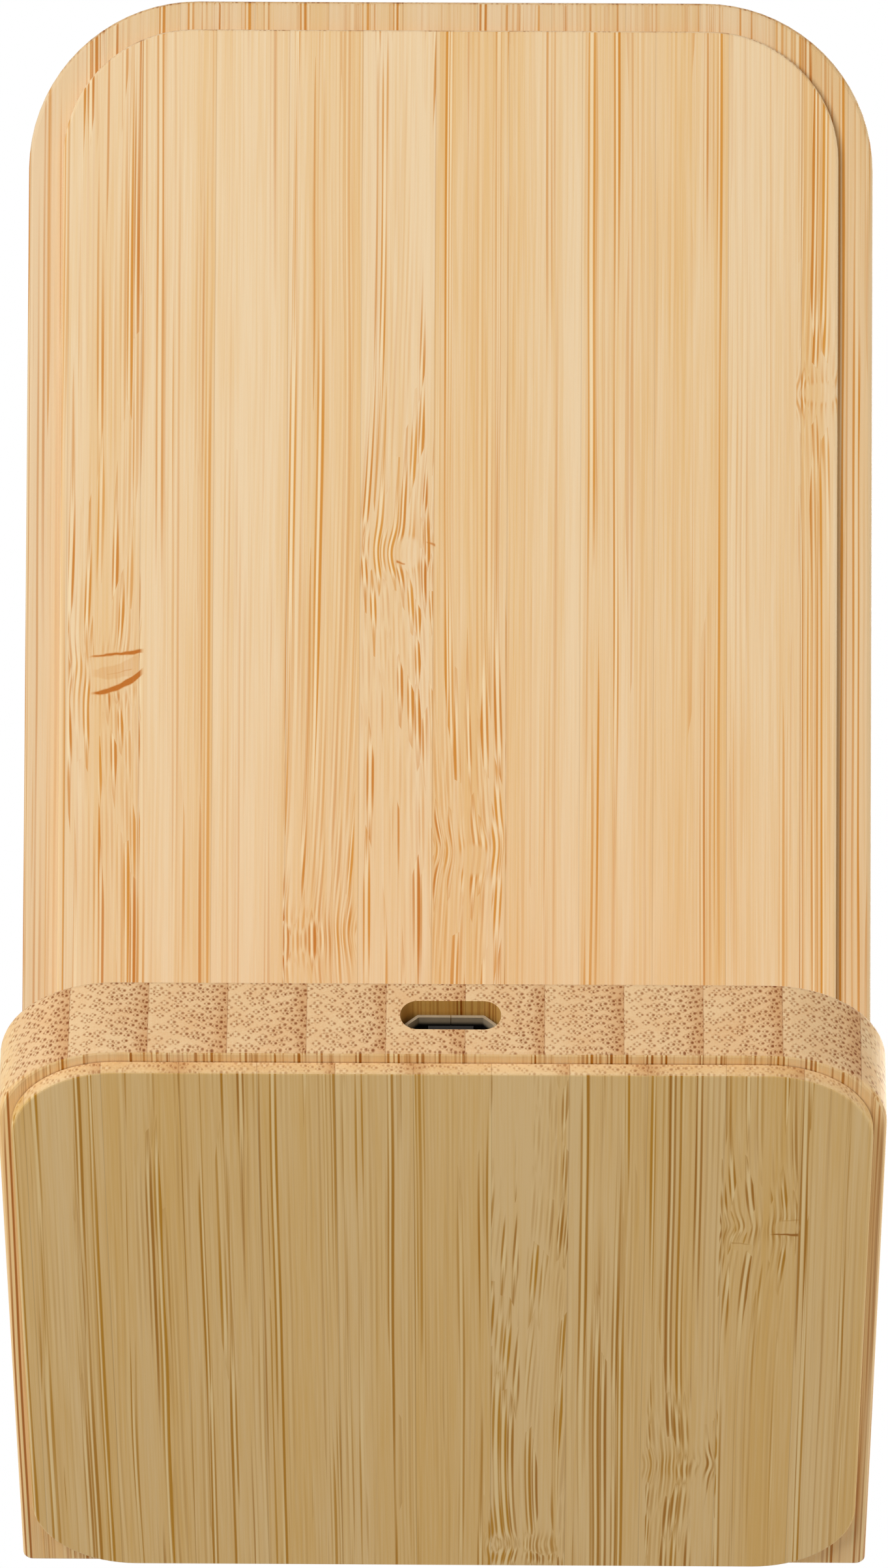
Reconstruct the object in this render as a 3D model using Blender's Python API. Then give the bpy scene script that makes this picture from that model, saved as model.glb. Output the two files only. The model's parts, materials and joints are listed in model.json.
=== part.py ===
"""Wireless charging stand: two bamboo boards with glued cover plates, and the charger inside them.

Metres, +Z up. The stand rests on z = 0, the phone side faces -Y and the USB port faces +Y.
The base board lies flat. The panel board leans back over it, and is modelled in the frame of the
empty panel_frame: its +Y runs up the board and its +Z points at the phone.
"""

import math

import bmesh
import bpy
from mathutils import Matrix, Vector

# Both boards
stand_width = 0.0750
board_thickness = 0.0075
cover_thickness = 0.0011
glue_line = 0.0001
edge_softening = 0.0004
cover_softening = 0.00025
softening_steps = 3
arc_steps = 18
least_radius_share = 0.05
full_round_share = 0.999
sharp_edge_angle = math.radians(35.0)

# Base board and its cover
base_length = 0.0750
ledge_depth = 0.0098
base_rear_corner_radius = 0.0100
base_front_corner_radius = 0.0009
base_cover_side_inset = 0.00115
base_cover_rear_inset = 0.0013
base_cover_front_inset = 0.0012
base_cover_corner_radius = 0.0090

# Groove that a phone's lower edge stands in
groove_width = 0.0050
groove_depth = 0.0012
groove_end_margin = 0.0060
groove_clearance = 0.0005

# Leaning panel board and its cover
panel_lean_angle = math.radians(55.0)
panel_length = 0.1215
panel_corner_radius = 0.0150
panel_cover_side_inset = 0.0031
panel_cover_top_inset = 0.0027
panel_cover_foot_inset = 0.0030
panel_cover_corner_radius = 0.0115

# Dowels between the two boards
dowel_diameter = 0.0040
dowel_base_depth = 0.0060
dowel_panel_depth = 0.0120
dowel_edge_distance = 0.0140
dowel_clearance = 0.0002
dowel_chamfer = 0.0004
dowel_steps = 24

# Pocket under the base board, with its channel for the coil leads
pocket_roof = 0.0018
pocket_rear_wall = 0.0030
pocket_side_room = 0.0020
pocket_front_room = 0.0012
pocket_corner_radius = 0.0030
channel_side_room = 0.0018
channel_end_room = 0.0012
cut_overrun = 0.0010

# USB port in the rear end face
port_offset = -0.0007
port_drop = 0.0035
slot_clearance = 0.000275
slot_corner_gap = 0.00004
port_recess = 0.0016
shell_width = 0.0075
shell_height = 0.00245
shell_length = 0.0050
shell_wall = 0.00025
shell_chamfer = 0.00095
shell_corner_radius = 0.0003
insulator_block_length = 0.0012
insulator_gap = 0.00005
tongue_width = 0.0038
tongue_thickness = 0.0006
tongue_inset = 0.0007
tongue_ceiling_gap = 0.00035
contact_count = 5
contact_pitch = 0.00065
contact_width = 0.0003
contact_thickness = 0.00012
contact_inset = 0.0004
contact_gap = 0.00003

# Circuit board and its parts
circuit_width = 0.0440
circuit_length = 0.0340
circuit_thickness = 0.0008
circuit_wall_gap = 0.0003
shell_notch_gap = 0.0002
solder_gap = 0.00005
tape_width = 0.0080
tape_length = 0.0240
tape_edge_distance = 0.0060
tape_gap = 0.0001
controller_size = (0.0050, 0.0050, 0.0009)
bridge_size = (0.0050, 0.0040, 0.0014)
inductor_size = (0.0050, 0.0050, 0.0024)
input_capacitor_size = (0.0016, 0.0032, 0.0016)
tank_capacitor_size = (0.0045, 0.0032, 0.0020)
part_edge_softening = 0.0002
controller_place_share = (0.0, 0.44)
bridge_place_shares = ((-0.24, 0.60), (0.24, 0.60))
inductor_place_share = (-0.27, 0.24)
input_capacitor_place_shares = ((0.22, 0.22), (0.34, 0.22))
tank_capacitor_place_shares = ((-0.33, 0.82), (-0.11, 0.82), (0.11, 0.82), (0.33, 0.82))

# Coils and what holds them in the panel board
panel_front_wall = 0.0020
coil_outer_diameter = 0.0430
coil_inner_diameter = 0.0200
coil_thickness = 0.0011
coil_rounding = 0.0003
coil_steps = 48
coil_middle_share = 0.50
coil_pitch = 0.0260
layer_gap = 0.0001
bay_side_room = 0.0020
bay_end_room = 0.0030
bay_corner_radius = 0.0040
ferrite_thickness = 0.0008
ferrite_side_margin = 0.0005
foam_edge_inset = 0.0030

# Leads between the circuit board and the coils
lead_diameter = 0.0008
lead_gap = 0.0003
lead_row_gap = 0.0005
lead_hole_clearance = 0.0007
lead_hole_steps = 24
lead_solder_lap = 0.0014
lead_coil_gap = 0.0003
lead_bend_radius = 0.0016
lead_samples_per_span = 4

# Heights and places that follow from the sizes above
base_bottom_z = cover_thickness + glue_line
base_top_z = base_bottom_z + board_thickness
panel_rise = Vector((0.0, math.cos(panel_lean_angle), math.sin(panel_lean_angle)))
foot_depth = board_thickness / math.sin(panel_lean_angle)
panel_setback = base_length - ledge_depth - foot_depth
overhang = (
    (panel_length - edge_softening) * math.cos(panel_lean_angle)
    + edge_softening * (1 - math.sin(panel_lean_angle))
    - panel_setback
)
base_front_y = -(base_length + max(overhang, 0.0)) / 2
base_rear_y = base_front_y + base_length
panel_joint_y = base_rear_y - panel_setback
foot_middle_y = panel_joint_y - foot_depth / 2
pocket_ceiling_z = base_top_z - pocket_roof
pocket_rear_y = base_rear_y - pocket_rear_wall
pocket_width = circuit_width + 2 * pocket_side_room
pocket_front_y = pocket_rear_y - circuit_wall_gap - circuit_length - pocket_front_room
slot_height = shell_height + 2 * slot_clearance
port_z = base_top_z - port_drop
shell_front_y = base_rear_y - port_recess
shell_rear_y = shell_front_y - shell_length
circuit_rear_y = pocket_rear_y - circuit_wall_gap
circuit_front_y = circuit_rear_y - circuit_length
circuit_bottom_z = port_z - circuit_thickness / 2
circuit_top_z = port_z + circuit_thickness / 2
coil_radius = coil_outer_diameter / 2
lower_coil_height = panel_length * coil_middle_share - coil_pitch / 2
upper_coil_height = lower_coil_height + coil_pitch
bay_foot = lower_coil_height - coil_radius - bay_end_room
bay_top = upper_coil_height + coil_radius + bay_end_room
bay_floor = board_thickness - panel_front_wall
upper_coil_layer = bay_floor - layer_gap - coil_thickness
lower_coil_layer = upper_coil_layer - layer_gap - coil_thickness
ferrite_layer = lower_coil_layer - layer_gap - ferrite_thickness

lead_pitch = lead_diameter + lead_gap
lead_row_distance = lead_diameter + lead_row_gap
lead_hole_radius = (
    math.hypot(lead_pitch / 2, lead_row_distance / 2) + lead_diameter / 2 + lead_hole_clearance
)

# Name of a material, its colour, roughness and metallic value
finishes = {
    "bamboo": ((0.80, 0.58, 0.33, 1.0), 0.55, 0.0),
    "bamboo_cover": ((0.74, 0.53, 0.29, 1.0), 0.55, 0.0),
    "dowel_wood": ((0.72, 0.52, 0.31, 1.0), 0.65, 0.0),
    "shell_steel": ((0.42, 0.41, 0.39, 1.0), 0.35, 1.0),
    "black_plastic": ((0.02, 0.02, 0.02, 1.0), 0.45, 0.0),
    "contact_gold": ((0.80, 0.60, 0.25, 1.0), 0.30, 1.0),
    "circuit_green": ((0.03, 0.16, 0.07, 1.0), 0.40, 0.0),
    "capacitor_ceramic": ((0.45, 0.34, 0.22, 1.0), 0.50, 0.0),
    "ferrite": ((0.06, 0.06, 0.065, 1.0), 0.60, 0.0),
    "coil_copper": ((0.62, 0.27, 0.13, 1.0), 0.45, 1.0),
    "lead_sleeve": ((0.55, 0.24, 0.12, 1.0), 0.55, 0.0),
    "foam": ((0.16, 0.16, 0.17, 1.0), 0.90, 0.0),
}


def clear_scene():
    for obj in list(bpy.data.objects):
        bpy.data.objects.remove(obj)


def make_material(name):
    colour, roughness, metallic = finishes[name]
    material = bpy.data.materials.new(name)
    material.use_nodes = True
    shader = material.node_tree.nodes["Principled BSDF"]
    shader.inputs["Base Color"].default_value = colour
    shader.inputs["Roughness"].default_value = roughness
    shader.inputs["Metallic"].default_value = metallic
    return material


def finish_of(name):
    return bpy.data.materials.get(name) or make_material(name)


def add_object(name, mesh_data, finish, parent=None):
    obj = bpy.data.objects.new(name, mesh_data)
    bpy.context.scene.collection.objects.link(obj)
    if finish:
        mesh_data.materials.append(finish_of(finish))
    obj.parent = parent
    return obj


def add_mesh(name, bm, finish, parent=None):
    bmesh.ops.recalc_face_normals(bm, faces=bm.faces)
    mesh = bpy.data.meshes.new(name)
    bm.to_mesh(mesh)
    bm.free()
    mesh.shade_smooth()
    mesh.set_sharp_from_angle(angle=sharp_edge_angle)
    return add_object(name, mesh, finish, parent)


def rounded_polygon(corners, radii, steps=arc_steps):
    """Outline, anticlockwise, with each corner replaced by an arc of its radius."""
    outline = []
    for index, corner in enumerate(corners):
        radius = radii[index]
        here = Vector(corner)
        back = (Vector(corners[index - 1]) - here).normalized()
        ahead = (Vector(corners[(index + 1) % len(corners)]) - here).normalized()
        if radius <= 0.0:
            outline.append(here)
            continue
        half_angle = back.angle(ahead) / 2
        centre = here + (back + ahead).normalized() * (radius / math.sin(half_angle))
        start = here + back * (radius / math.tan(half_angle)) - centre
        turn = math.pi - 2 * half_angle
        for step in range(steps + 1):
            angle = turn * step / steps
            arm = Matrix.Rotation(angle, 2) @ start
            outline.append(centre + arm)
    return outline


def rectangle(low_x, high_x, low_y, high_y):
    return [(low_x, low_y), (high_x, low_y), (high_x, high_y), (low_x, high_y)]


def plate_outline(low_x, high_x, low_y, high_y, radii, inset):
    """Rectangle with four corner radii, anticlockwise from its low corner, drawn in by inset."""
    corners = rectangle(low_x + inset, high_x - inset, low_y + inset, high_y - inset)
    drawn_in = [max(radius - inset, radius * least_radius_share) for radius in radii]
    return rounded_polygon(corners, drawn_in)


def loft(rings):
    """Closed solid through rings of points at rising heights: (outline, height) each."""
    bm = bmesh.new()
    loops = [[bm.verts.new((p[0], p[1], z)) for p in outline] for outline, z in rings]
    count = len(loops[0])
    for lower, upper in zip(loops, loops[1:]):
        for i in range(count):
            j = (i + 1) % count
            bm.faces.new((lower[i], lower[j], upper[j], upper[i]))
    bm.faces.new(list(reversed(loops[0])))
    bm.faces.new(loops[-1])
    return bm


def prism(outline, low_z, high_z):
    return loft([(outline, low_z), (outline, high_z)])


def rounded_rim(edge_z, softening, side):
    """Insets and heights from a plate's wall to its edge at edge_z, which faces side: 1 up, -1 down."""
    if softening <= 0.0:
        return [(0.0, edge_z)]
    rim = []
    for step in range(softening_steps + 1):
        angle = math.pi / 2 * step / softening_steps
        drop = softening * (1 - math.sin(angle))
        rim.append((softening * (1 - math.cos(angle)), edge_z - side * drop))
    return rim


def softened_plate(bounds, radii, low_z, high_z, low_softening, high_softening):
    """Plate whose lower and upper rims are rounded by quarter arcs."""
    rings = rounded_rim(low_z, low_softening, -1)[::-1] + rounded_rim(high_z, high_softening, 1)
    return loft([(plate_outline(*bounds, radii, inset), z) for inset, z in rings])


def block(centre_x, centre_y, low_z, size):
    width, length, height = size
    outline = rectangle(
        centre_x - width / 2, centre_x + width / 2, centre_y - length / 2, centre_y + length / 2
    )
    return prism(outline, low_z, low_z + height)


def circle(radius, steps, centre_x=0.0, centre_y=0.0):
    angles = [2 * math.pi * step / steps for step in range(steps)]
    return [(centre_x + radius * math.cos(a), centre_y + radius * math.sin(a)) for a in angles]


def boolean(target, tool, operation):
    modifier = target.modifiers.new(operation.lower() + "_" + tool.name, "BOOLEAN")
    modifier.operation = operation
    modifier.solver = "EXACT"
    modifier.object = tool
    tool.hide_render = True
    tool.display_type = "WIRE"


def cut(target, name, bm, parent=None):
    tool = add_mesh(name, bm, None, parent)
    boolean(target, tool, "DIFFERENCE")
    return tool


def lay_along_y(obj, y):
    """Turns an object modelled in X and Y, so that its +Y is up and its +Z points at -Y from y."""
    obj.location = (0.0, y, 0.0)
    obj.rotation_euler = (math.pi / 2, 0.0, 0.0)


def make_panel_frame():
    frame = bpy.data.objects.new("panel_frame", None)
    bpy.context.scene.collection.objects.link(frame)
    frame.location = (0.0, panel_joint_y, base_top_z)
    frame.rotation_euler = (panel_lean_angle, 0.0, 0.0)
    return frame


def dowel_places():
    side = stand_width / 2 - dowel_edge_distance
    return {"left": -side, "right": side}


def dowel_solid(radius, low, high, chamfer):
    """Round pin along +Y of the panel's frame, halfway through the board."""
    rings = [
        (circle(radius - chamfer, dowel_steps), low),
        (circle(radius, dowel_steps), low + chamfer),
        (circle(radius, dowel_steps), high - chamfer),
        (circle(radius - chamfer, dowel_steps), high),
    ]
    if chamfer <= 0.0:
        rings = rings[::3]
    bm = loft(rings)
    turn = Matrix.Rotation(-math.pi / 2, 4, "X")
    bmesh.ops.transform(bm, matrix=turn, verts=bm.verts)
    return bm


def cut_dowel_holes(board, frame, board_name):
    radius = dowel_diameter / 2 + dowel_clearance
    low = -dowel_base_depth - dowel_clearance
    high = dowel_panel_depth + dowel_clearance
    for side, x in dowel_places().items():
        tool = cut(board, f"{board_name}_dowel_hole_{side}", dowel_solid(radius, low, high, 0.0), frame)
        tool.location = (x, dowel_middle(), board_thickness / 2)


def dowel_middle():
    """Where the panel board's foot plane crosses the board's middle layer, up the board."""
    return -board_thickness / 2 / math.tan(panel_lean_angle)


def make_dowels(frame):
    for side, x in dowel_places().items():
        pin = dowel_solid(dowel_diameter / 2, -dowel_base_depth, dowel_panel_depth, dowel_chamfer)
        dowel = add_mesh(f"dowel_{side}", pin, "dowel_wood", frame)
        dowel.location = (x, dowel_middle(), board_thickness / 2)


def slot_outline():
    """Slot with full-round ends, just wide enough to clear the lower corners of the shell."""
    end_radius = slot_height / 2
    reach = end_radius - shell_corner_radius - slot_corner_gap
    corner_drop = shell_height / 2 - shell_corner_radius
    corner_side = shell_width / 2 - shell_corner_radius
    half_width = corner_side + end_radius - math.sqrt(reach**2 - corner_drop**2)
    corners = rectangle(
        port_offset - half_width, port_offset + half_width, port_z - end_radius, port_z + end_radius
    )
    return rounded_polygon(corners, [end_radius * full_round_share] * 4)


def make_base_board(frame):
    bounds = (-stand_width / 2, stand_width / 2, base_front_y, base_rear_y)
    front, rear = base_front_corner_radius, base_rear_corner_radius
    solid = softened_plate(
        bounds, (front, front, rear, rear), base_bottom_z, base_top_z, edge_softening, edge_softening
    )
    board = add_mesh("base_board", solid, "bamboo")

    pocket_low_z = base_bottom_z - cut_overrun
    pocket = rectangle(-pocket_width / 2, pocket_width / 2, pocket_front_y, pocket_rear_y)
    pocket_shape = prism(
        rounded_polygon(pocket, [pocket_corner_radius] * 4), pocket_low_z, pocket_ceiling_z
    )
    cut(board, "base_pocket", pocket_shape)

    hole_radius = lead_hole_radius + channel_end_room
    half_channel = lead_pitch * 2 + channel_side_room
    channel = rectangle(
        -half_channel, half_channel, foot_middle_y - hole_radius, pocket_front_y + half_channel
    )
    end_radius = min(pocket_corner_radius, half_channel) * full_round_share
    channel_outline = rounded_polygon(channel, [end_radius, end_radius, 0.0, 0.0])
    cut(board, "lead_channel", prism(channel_outline, pocket_low_z, pocket_ceiling_z - glue_line))

    lead_hole = circle(hole_radius, lead_hole_steps, 0.0, foot_middle_y)
    cut(board, "base_lead_hole", prism(lead_hole, base_bottom_z, base_top_z + cut_overrun))

    slot_depth = pocket_rear_wall + 2 * cut_overrun
    slot = cut(board, "port_slot", prism(slot_outline(), 0.0, slot_depth))
    lay_along_y(slot, base_rear_y + cut_overrun)

    groove_rear_y = panel_joint_y - foot_depth - groove_clearance
    groove_half = stand_width / 2 - groove_end_margin
    groove = rectangle(-groove_half, groove_half, groove_rear_y - groove_width, groove_rear_y)
    groove_shape = rounded_polygon(groove, [groove_width / 2 * full_round_share] * 4)
    cut(board, "phone_groove", prism(groove_shape, base_top_z - groove_depth, base_top_z + cut_overrun))

    cut_dowel_holes(board, frame, "base")
    return board


def make_base_cover():
    bounds = (
        base_cover_side_inset - stand_width / 2,
        stand_width / 2 - base_cover_side_inset,
        base_front_y + base_cover_front_inset,
        base_rear_y - base_cover_rear_inset,
    )
    radii = [base_cover_corner_radius] * 4
    solid = softened_plate(bounds, radii, 0.0, cover_thickness, cover_softening, 0.0)
    add_mesh("base_cover", solid, "bamboo_cover")


def cut_foot(bm):
    """Cuts the panel board's lower end level, one glue line above the base board."""
    plane_point = Vector((0.0, glue_line / math.sin(panel_lean_angle), 0.0))
    plane_normal = Vector((0.0, math.sin(panel_lean_angle), math.cos(panel_lean_angle)))
    bmesh.ops.recalc_face_normals(bm, faces=bm.faces)
    geometry = bm.verts[:] + bm.edges[:] + bm.faces[:]
    found = bmesh.ops.bisect_plane(
        bm, geom=geometry, plane_co=plane_point, plane_no=plane_normal, clear_inner=True
    )
    rim = [item for item in found["geom_cut"] if isinstance(item, bmesh.types.BMEdge)]
    bmesh.ops.contextual_create(bm, geom=rim)


def make_panel_board(frame):
    foot_reach = -2 * foot_depth
    bounds = (-stand_width / 2, stand_width / 2, foot_reach, panel_length)
    radii = (0.0, 0.0, panel_corner_radius, panel_corner_radius)
    solid = softened_plate(bounds, radii, 0.0, board_thickness, edge_softening, edge_softening)
    cut_foot(solid)
    board = add_mesh("panel_board", solid, "bamboo", frame)

    half_bay = coil_radius + bay_side_room
    bay = rounded_polygon(rectangle(-half_bay, half_bay, bay_foot, bay_top), [bay_corner_radius] * 4)
    cut(board, "coil_bay", prism(bay, -cut_overrun, bay_floor), frame)

    hole_high = bay_foot + bay_corner_radius - dowel_middle()
    hole = dowel_solid(lead_hole_radius, -board_thickness, hole_high, 0.0)
    tool = cut(board, "panel_lead_hole", hole, frame)
    tool.location = (0.0, dowel_middle(), board_thickness / 2)

    cut_dowel_holes(board, frame, "panel")
    return board


def make_panel_cover(frame):
    bounds = (
        panel_cover_side_inset - stand_width / 2,
        stand_width / 2 - panel_cover_side_inset,
        panel_cover_foot_inset,
        panel_length - panel_cover_top_inset,
    )
    radii = [panel_cover_corner_radius] * 4
    solid = softened_plate(
        bounds, radii, -glue_line - cover_thickness, -glue_line, cover_softening, 0.0
    )
    add_mesh("panel_cover", solid, "bamboo_cover", frame)


def shell_outline(inset):
    """Micro-USB shape: wide side down, narrow side up between two chamfers."""
    half_width = shell_width / 2 - inset
    half_height = shell_height / 2 - inset
    chamfer = shell_chamfer - inset * (2 - math.sqrt(2))
    corners = [
        (port_offset - half_width, port_z - half_height),
        (port_offset + half_width, port_z - half_height),
        (port_offset + half_width, port_z + half_height - chamfer),
        (port_offset + half_width - chamfer, port_z + half_height),
        (port_offset - half_width + chamfer, port_z + half_height),
        (port_offset - half_width, port_z + half_height - chamfer),
    ]
    radius = max(shell_corner_radius - inset, shell_corner_radius * least_radius_share)
    return rounded_polygon(corners, [radius] * len(corners), softening_steps)


def make_usb_shell():
    shell = add_mesh("usb_shell", prism(shell_outline(0.0), 0.0, shell_length), "shell_steel")
    lay_along_y(shell, shell_front_y)
    inside = prism(shell_outline(shell_wall), -cut_overrun, shell_length + cut_overrun)
    tool = cut(shell, "shell_inside", inside)
    lay_along_y(tool, shell_front_y)


def make_usb_insulator():
    """Moulded block that closes the shell's rear, with the tongue standing out of it."""
    block_front = shell_length - insulator_block_length
    outline = shell_outline(shell_wall + insulator_gap)
    insulator = add_mesh("usb_insulator", prism(outline, block_front, shell_length), "black_plastic")
    lay_along_y(insulator, shell_front_y)
    half = tongue_width / 2
    tongue = rectangle(
        port_offset - half, port_offset + half, tongue_bottom_z(), tongue_bottom_z() + tongue_thickness
    )
    tongue_rear = block_front + insulator_block_length / 2
    tool = add_mesh("tongue", prism(tongue, tongue_inset, tongue_rear), "black_plastic")
    lay_along_y(tool, shell_front_y)
    boolean(insulator, tool, "UNION")


def tongue_bottom_z():
    return port_z + shell_height / 2 - shell_wall - tongue_ceiling_gap - tongue_thickness


def make_usb_contacts():
    rear = shell_length - insulator_block_length - contact_gap
    front = tongue_inset + contact_inset
    high_z = tongue_bottom_z() - contact_gap
    for number in range(contact_count):
        x = port_offset + (number - (contact_count - 1) / 2) * contact_pitch
        half = contact_width / 2
        strip = rectangle(x - half, x + half, high_z - contact_thickness, high_z)
        contact = add_mesh(f"usb_contact_{number + 1}", prism(strip, front, rear), "contact_gold")
        lay_along_y(contact, shell_front_y)


def make_main_board():
    half_width = circuit_width / 2
    half_notch = shell_width / 2 + shell_notch_gap
    notch_y = shell_rear_y - shell_notch_gap
    outline = [
        (-half_width, circuit_front_y),
        (half_width, circuit_front_y),
        (half_width, circuit_rear_y),
        (port_offset + half_notch, circuit_rear_y),
        (port_offset + half_notch, notch_y),
        (port_offset - half_notch, notch_y),
        (port_offset - half_notch, circuit_rear_y),
        (-half_width, circuit_rear_y),
    ]
    add_mesh("main_board", prism(outline, circuit_bottom_z, circuit_top_z), "circuit_green")


def make_board_tapes():
    """Foam tape strips that hang the circuit board from the pocket's ceiling."""
    side = circuit_width / 2 - tape_edge_distance
    height = pocket_ceiling_z - circuit_top_z - 2 * tape_gap
    middle_y = (circuit_front_y + circuit_rear_y) / 2
    for name, x in (("board_tape_left", -side), ("board_tape_right", side)):
        strip = block(x, middle_y, circuit_top_z + tape_gap, (tape_width, tape_length, height))
        add_mesh(name, strip, "foam")


def add_component(name, size, place_share, finish):
    """Part soldered under the circuit board, at shares of the board's width and length."""
    width, length, height = size
    x = place_share[0] * circuit_width
    y = circuit_rear_y - place_share[1] * circuit_length
    high_z = circuit_bottom_z - solder_gap
    bounds = (x - width / 2, x + width / 2, y - length / 2, y + length / 2)
    solid = softened_plate(bounds, [0.0] * 4, high_z - height, high_z, part_edge_softening, 0.0)
    add_mesh(name, solid, finish)


def add_components(name, size, place_shares, finish):
    for number, place_share in enumerate(place_shares, start=1):
        add_component(f"{name}_{number}", size, place_share, finish)


def make_components():
    add_component("controller_chip", controller_size, controller_place_share, "black_plastic")
    add_component("input_inductor", inductor_size, inductor_place_share, "ferrite")
    add_components("power_bridge", bridge_size, bridge_place_shares, "black_plastic")
    add_components(
        "input_capacitor", input_capacitor_size, input_capacitor_place_shares, "capacitor_ceramic"
    )
    add_components(
        "tank_capacitor", tank_capacitor_size, tank_capacitor_place_shares, "capacitor_ceramic"
    )


def coil_ring(low):
    """Flat wound coil as a turned ring with rounded rims, its lower face at low."""
    inner = coil_inner_diameter / 2
    high = low + coil_thickness
    profile = [
        (inner + coil_rounding, low),
        (coil_radius - coil_rounding, low),
        (coil_radius, low + coil_rounding),
        (coil_radius, high - coil_rounding),
        (coil_radius - coil_rounding, high),
        (inner + coil_rounding, high),
        (inner, high - coil_rounding),
        (inner, low + coil_rounding),
    ]
    bm = bmesh.new()
    loops = []
    for step in range(coil_steps):
        angle = 2 * math.pi * step / coil_steps
        loops.append([bm.verts.new((r * math.cos(angle), r * math.sin(angle), z)) for r, z in profile])
    for step in range(coil_steps):
        here, ahead = loops[step], loops[(step + 1) % coil_steps]
        for i in range(len(profile)):
            j = (i + 1) % len(profile)
            bm.faces.new((here[i], here[j], ahead[j], ahead[i]))
    return bm


def make_coils(frame):
    lower = add_mesh("lower_coil", coil_ring(lower_coil_layer), "coil_copper", frame)
    lower.location = (0.0, lower_coil_height, 0.0)
    upper = add_mesh("upper_coil", coil_ring(upper_coil_layer), "coil_copper", frame)
    upper.location = (0.0, upper_coil_height, 0.0)


def make_coil_backing(frame):
    half_width = coil_radius + ferrite_side_margin
    low_y = lower_coil_height - half_width
    high_y = upper_coil_height + half_width
    ferrite = rectangle(-half_width, half_width, low_y, high_y)
    plate = prism(ferrite, ferrite_layer, ferrite_layer + ferrite_thickness)
    add_mesh("ferrite_plate", plate, "ferrite", frame)
    foam = rectangle(
        foam_edge_inset - half_width, half_width - foam_edge_inset, low_y + foam_edge_inset,
        high_y - foam_edge_inset,
    )
    add_mesh("coil_foam", prism(foam, 0.0, ferrite_layer - layer_gap), "foam", frame)


def smooth_path(points, samples):
    """Points along the centripetal Catmull-Rom curve through the given ones."""
    ends = [2 * points[0] - points[1], *points, 2 * points[-1] - points[-2]]
    path = []
    for a, b, c, d in zip(ends, ends[1:], ends[2:], ends[3:]):
        times = [0.0]
        for start, stop in ((a, b), (b, c), (c, d)):
            times.append(times[-1] + math.sqrt((stop - start).length))
        for step in range(samples):
            t = times[1] + (times[2] - times[1]) * step / samples
            path.append(blend_at(t, times, (a, b, c, d)))
    path.append(points[-1])
    return path


def blend_at(t, times, points):
    """Point at time t on the curve that passes four points at their times."""

    def between(low, high, start, stop):
        return start + (stop - start) * ((t - times[low]) / (times[high] - times[low]))

    first = between(0, 1, points[0], points[1])
    second = between(1, 2, points[1], points[2])
    third = between(2, 3, points[2], points[3])
    return between(1, 2, between(0, 2, first, second), between(1, 3, second, third))


def add_lead(name, points):
    curve = bpy.data.curves.new(name, "CURVE")
    curve.dimensions = "3D"
    curve.bevel_depth = lead_diameter / 2
    curve.bevel_resolution = 1
    curve.use_fill_caps = True
    spline = curve.splines.new("POLY")
    path = smooth_path(points, lead_samples_per_span)
    spline.points.add(len(path) - 1)
    for spot, point in zip(spline.points, path):
        spot.co = (*point, 1.0)
    add_object(name, curve, "lead_sleeve")


def in_panel(x, up, layer):
    """World point of a place in the panel's frame."""
    forward = Vector((0.0, -math.sin(panel_lean_angle), math.cos(panel_lean_angle)))
    origin = Vector((x, panel_joint_y, base_top_z))
    return origin + panel_rise * up + forward * layer


def lead_route(lane_x, hole_x, row, coil_height, layer):
    """Along the base's channel, up through both boards, and on to the foot of its coil."""
    radius = lead_diameter / 2
    run_z = circuit_bottom_z - solder_gap - radius
    row_layer = board_thickness / 2 + row * lead_row_distance / 2
    rise_y = panel_joint_y - row_layer / math.sin(panel_lean_angle)
    bend = lead_bend_radius
    bend_share = 1 - math.sqrt(2) / 2
    start_y = circuit_front_y + lead_solder_lap
    end_up = coil_height - math.sqrt(coil_radius**2 - hole_x**2) - lead_coil_gap
    foot_up = -row_layer / math.tan(panel_lean_angle)
    settled_up = bay_foot + bay_end_room * 2 / 3
    return [
        Vector((lane_x, start_y, run_z)),
        Vector((lane_x, start_y + (rise_y - start_y) / 3, run_z)),
        Vector((lane_x, start_y + (rise_y - start_y) * 2 / 3, run_z)),
        Vector((lane_x, rise_y + bend, run_z)),
        Vector((lane_x, rise_y + bend * bend_share, run_z + bend * bend_share)),
        Vector(((lane_x + hole_x) / 2, rise_y, run_z + bend)),
        in_panel(hole_x, foot_up, row_layer),
        in_panel(hole_x, (foot_up + bay_foot) / 2, row_layer),
        in_panel(hole_x, bay_foot, row_layer),
        in_panel(hole_x, settled_up, layer),
        in_panel(hole_x, end_up, layer),
    ]


def make_leads():
    lower_layer = lower_coil_layer + coil_thickness / 2
    upper_layer = upper_coil_layer + coil_thickness / 2
    hole_half = lead_pitch / 2
    for side, sign in (("left", -1), ("right", 1)):
        hole_x = sign * hole_half
        lower = lead_route(sign * lead_pitch / 2, hole_x, -1, lower_coil_height, lower_layer)
        add_lead(f"lower_coil_lead_{side}", lower)
        upper = lead_route(sign * lead_pitch * 3 / 2, hole_x, 1, upper_coil_height, upper_layer)
        add_lead(f"upper_coil_lead_{side}", upper)


def main():
    clear_scene()
    frame = make_panel_frame()
    make_base_board(frame)
    make_base_cover()
    make_panel_board(frame)
    make_panel_cover(frame)
    make_dowels(frame)
    make_usb_shell()
    make_usb_insulator()
    make_usb_contacts()
    make_main_board()
    make_board_tapes()
    make_components()
    make_coils(frame)
    make_coil_backing(frame)
    make_leads()


main()
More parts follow.
